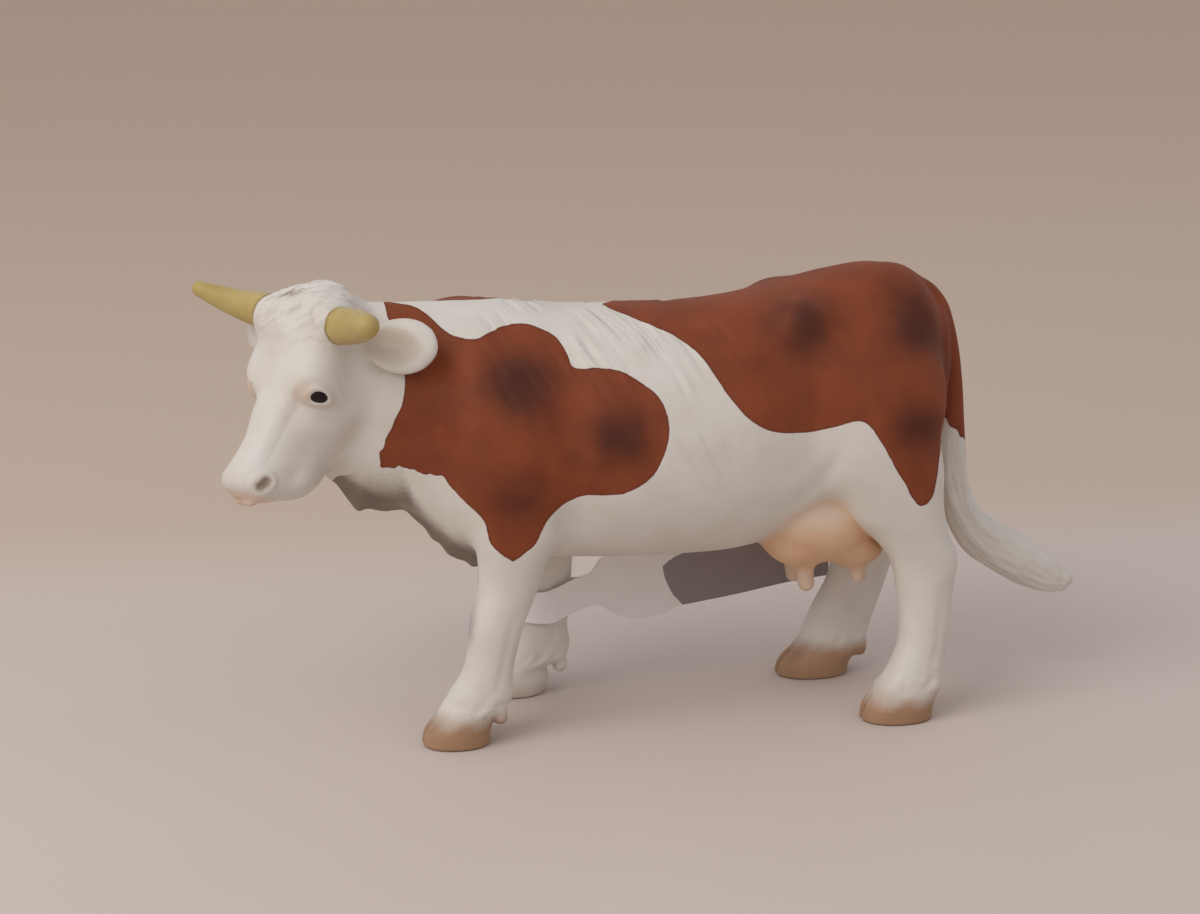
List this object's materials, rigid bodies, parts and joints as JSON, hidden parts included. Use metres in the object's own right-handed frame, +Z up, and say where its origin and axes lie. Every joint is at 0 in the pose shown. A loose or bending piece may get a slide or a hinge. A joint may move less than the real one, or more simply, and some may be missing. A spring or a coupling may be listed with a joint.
{
  "type": "toy cow figure",
  "caption": "Hand-painted vinyl toy cow standing on its hooves with its head turned, and a loose paper hang tag looped round a foreleg.",
  "frame": {"origin": "on the floor, under the middle of the whole object's bounding box", "axes": "+Z up, -X towards the head, +X towards the tail, +Y towards the cow's right flank, -Y towards its left flank"},
  "size_m": [0.1432, 0.0414, 0.0728],
  "materials": {
    "patched_vinyl": "soft vinyl, hand-painted with matt brown patches on white, darker airbrushed spots",
    "white_vinyl": "soft vinyl in warm white with matt acrylic shading on muzzle and hooves",
    "horn_paint": "soft vinyl painted olive yellow, satin",
    "udder_paint": "soft vinyl airbrushed peach, satin",
    "tag_card": "white coated paper card with a plain grey printed panel, satin"
  },
  "bodies": {
    "figure": {"torso": "patched_vinyl", "head": "white_vinyl", "left_horn": "horn_paint", "right_horn": "horn_paint", "left_ear": "white_vinyl", "right_ear": "white_vinyl", "front_left_leg": "white_vinyl", "front_right_leg": "white_vinyl", "hind_left_leg": "white_vinyl", "hind_right_leg": "white_vinyl", "udder": "udder_paint", "tail": "patched_vinyl"},
    "tag": {"tag": "tag_card"}
  },
  "joints": [
    {"name": "tag_swing", "type": "hinge", "parent": "figure", "child": "tag", "pos_m": [-0.01652, 0.01267, 0.0142], "axis": [0, 0, 1], "range_deg": [0, 150]}
  ]
}
